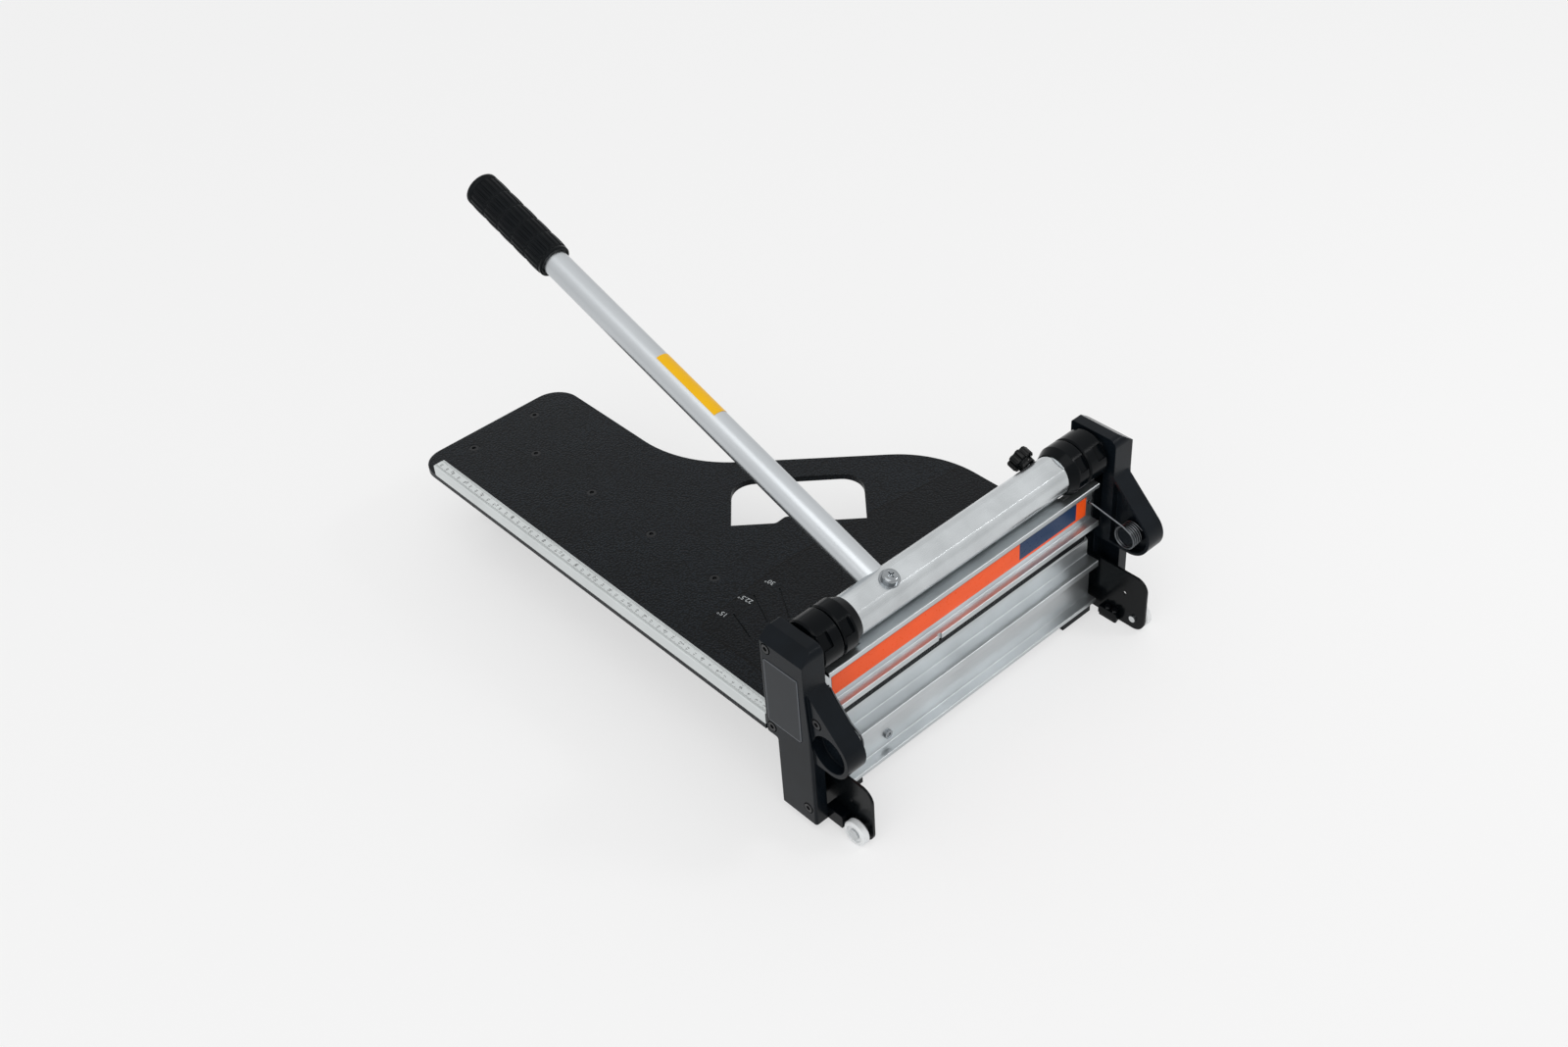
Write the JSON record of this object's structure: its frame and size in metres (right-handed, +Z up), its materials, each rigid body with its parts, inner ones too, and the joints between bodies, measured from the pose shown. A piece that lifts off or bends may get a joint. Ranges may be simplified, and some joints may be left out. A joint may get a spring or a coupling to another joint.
{
  "type": "laminate cutter",
  "caption": "Bench guillotine cutter for laminate planks: lever handle on a rocker bar lowers a straight blade carriage onto a step-shaped base plate with ruler fence and hand hole.",
  "frame": {"origin": "on the floor, at the middle of the part's bounding box with the handle down", "axes": "+X across the head towards the star knob's side, +Y from the blade head to the far end of the base plate, +Z up from the floor"},
  "size_m": [0.4075, 0.6236, 0.375],
  "materials": {
    "painted_board": "black textured powder coat",
    "black_casting": "satin black die casting",
    "bracket_sheet": "gloss black sheet steel",
    "rail_steel": "black tube steel",
    "extruded_aluminium": "mill finish extrusion",
    "ruler_aluminium": "satin anodised bar",
    "bar_aluminium": "drawn round bar",
    "tube_aluminium": "satin anodised tube",
    "blade_steel": "ground tool steel",
    "journal_steel": "turned steel",
    "zinc_screw": "zinc plated",
    "black_screw": "black oxide",
    "axle_steel": "zinc plated",
    "spring_steel": "oiled spring wire",
    "black_moulding": "satin black moulded nylon",
    "knob_plastic": "gloss black moulding",
    "anvil_plastic": "dark dense plastic",
    "roller_nylon": "white nylon",
    "rubber": "black rubber",
    "grip_rubber": "black moulded rubber",
    "badge_sheet": "grey printed sheet",
    "orange_label": "plain orange film",
    "yellow_label": "plain yellow film"
  },
  "bodies": {
    "frame": {"base_plate": "painted_board", "ruler_fence": "ruler_aluminium", "anvil_strip": "anvil_plastic", "plate_screws": "black_screw", "support_rail": "rail_steel", "far_foot": "rail_steel", "far_foot_pads": "rubber", "bed_extrusion": "extruded_aluminium", "bed_screw": "zinc_screw", "bed_pads": "rubber", "left_end_plate": "black_moulding", "right_end_plate": "black_moulding", "left_housing": "black_casting", "right_housing": "black_casting", "left_badge": "badge_sheet", "housing_screws": "black_screw", "left_spring": "spring_steel", "right_spring": "spring_steel", "left_roller_bracket": "bracket_sheet", "right_roller_bracket": "bracket_sheet", "foot_blocks": "black_moulding", "bracket_screws": "black_screw", "roller_axles": "axle_steel"},
    "carriage": {"carriage_extrusion": "extruded_aluminium", "carriage_label": "orange_label", "blade": "blade_steel", "blade_screws": "zinc_screw", "left_guide_block": "black_moulding", "right_guide_block": "black_moulding"},
    "rocker": {"rocker_bar": "bar_aluminium", "journal_pins": "journal_steel", "left_inner_collar": "black_moulding", "left_outer_collar": "black_moulding", "right_inner_collar": "black_moulding", "right_outer_collar": "black_moulding", "handle_tube": "tube_aluminium", "handle_grip": "grip_rubber", "handle_label": "yellow_label", "handle_bolt": "zinc_screw", "handle_washer": "zinc_screw", "knob_stud": "zinc_screw"},
    "knob": {"star_knob": "knob_plastic"},
    "left_wheel": {"left_roller": "roller_nylon"},
    "right_wheel": {"right_roller": "roller_nylon"}
  },
  "joints": [
    {"name": "handle_swing", "type": "hinge", "parent": "frame", "child": "rocker", "pos_m": [0, -0.24227, 0.18447], "axis": [1, 0, 0], "range_deg": [0, 90]},
    {"name": "blade_lift", "type": "slide", "parent": "frame", "child": "carriage", "axis": [0, 0, 1], "range_m": [0, 0.01424], "deforming": ["left_spring", "right_spring"]},
    {"name": "knob_turn", "type": "hinge", "parent": "rocker", "child": "knob", "pos_m": [0.1168, -0.20872, 0.18649], "axis": [0, 0.9458, 0.3247], "range_deg": [-720, 720]},
    {"name": "left_roller_spin", "type": "hinge", "parent": "frame", "child": "left_wheel", "pos_m": [-0.18622, -0.2991, 0.0124], "axis": [1, 0, 0], "continuous": true},
    {"name": "right_roller_spin", "type": "hinge", "parent": "frame", "child": "right_wheel", "pos_m": [0.18622, -0.2991, 0.0124], "axis": [1, 0, 0], "continuous": true}
  ],
  "couplings": [
    {"joint": "blade_lift", "follows": "handle_swing", "m_per_rad": 0.0090032}
  ]
}
